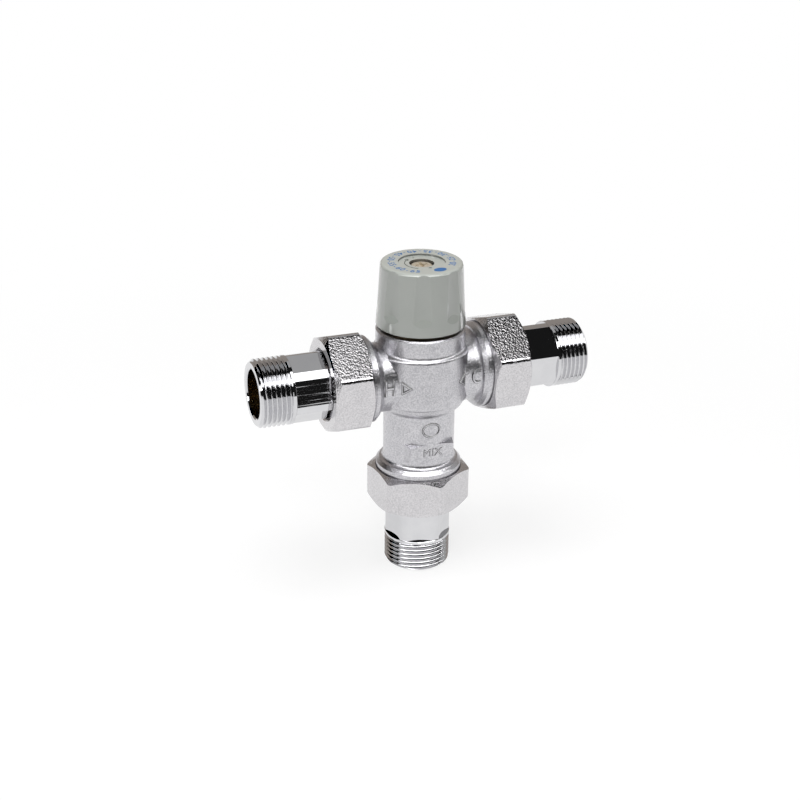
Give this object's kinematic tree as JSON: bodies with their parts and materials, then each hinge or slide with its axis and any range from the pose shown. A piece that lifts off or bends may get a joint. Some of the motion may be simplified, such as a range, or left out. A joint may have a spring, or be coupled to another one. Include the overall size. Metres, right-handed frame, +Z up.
{
  "type": "thermostatic mixing valve",
  "caption": "Three-way thermostatic mixing valve: chromed tee body with hexagon union nuts and threaded tails on hot, cold and mixed ends, and a fluted control knob on top.",
  "frame": {"origin": "centre of the mixed outlet tail's open end face, on the knob's axis", "axes": "+Z up along the knob's axis, -X out of the hot inlet, +X out of the cold inlet, -Y towards the front"},
  "size_m": [0.134, 0.0406, 0.1274],
  "materials": {
    "satin_chrome": "satin chrome plate over forged brass",
    "polished_chrome": "bright chrome plate over turned brass",
    "knob_plastic": "moulded, grey-green",
    "brass": "machined",
    "steel": "stainless",
    "seal_rubber": "black",
    "gasket_fibre": "flat seal, dark",
    "white_acetal": "moulded"
  },
  "bodies": {
    "valve": {"valve_body": "satin_chrome", "bonnet": "brass", "bonnet_o_ring": "seal_rubber", "hot_union_nut": "satin_chrome", "cold_union_nut": "satin_chrome", "mixed_union_nut": "satin_chrome", "hot_tailpiece": "polished_chrome", "cold_tailpiece": "polished_chrome", "mixed_tailpiece": "polished_chrome", "hot_gasket": "gasket_fibre", "cold_gasket": "gasket_fibre", "mixed_gasket": "gasket_fibre", "hot_strainer": "steel", "cold_strainer": "steel", "hot_check_cage": "white_acetal", "cold_check_cage": "white_acetal", "hot_check_o_ring": "seal_rubber", "cold_check_o_ring": "seal_rubber", "hot_check_spring": "steel", "cold_check_spring": "steel", "return_spring": "steel"},
    "knob": {"control_knob": "knob_plastic", "knob_screw": "steel", "spindle": "brass", "spindle_o_ring": "seal_rubber"},
    "carrier": {"adjusting_carrier": "brass", "spring_cup": "brass", "cup_clip": "steel", "overtravel_spring": "steel", "element_pin": "steel"},
    "sensor": {"wax_element": "brass", "shutter": "white_acetal", "shutter_o_ring": "seal_rubber"},
    "hot_poppet": {"hot_check_poppet": "white_acetal"},
    "cold_poppet": {"cold_check_poppet": "white_acetal"}
  },
  "joints": [
    {"name": "knob_turn", "type": "hinge", "parent": "valve", "child": "knob", "pos_m": [0, 0, 0.112], "axis": [0, 0, 1], "range_deg": [-135, 135]},
    {"name": "carrier_lift", "type": "slide", "parent": "valve", "child": "carrier", "axis": [0, 0, 1], "range_m": [-0.0008, 0.0008]},
    {"name": "shutter_slide", "type": "slide", "parent": "valve", "child": "sensor", "axis": [0, 0, 1], "range_m": [-0.0012, 0.0012], "stiffness_N_per_m": 3000, "deforming": ["return_spring"]},
    {"name": "hot_check_open", "type": "slide", "parent": "valve", "child": "hot_poppet", "axis": [1, 0, 0], "range_m": [0, 0.003], "stiffness_N_per_m": 200, "springref_m": -0.002, "deforming": ["hot_check_spring"]},
    {"name": "cold_check_open", "type": "slide", "parent": "valve", "child": "cold_poppet", "axis": [-1, 0, 0], "range_m": [0, 0.003], "stiffness_N_per_m": 200, "springref_m": -0.002, "deforming": ["cold_check_spring"]}
  ],
  "couplings": [
    {"joint": "carrier_lift", "follows": "knob_turn", "m_per_rad": 0.00031831}
  ]
}
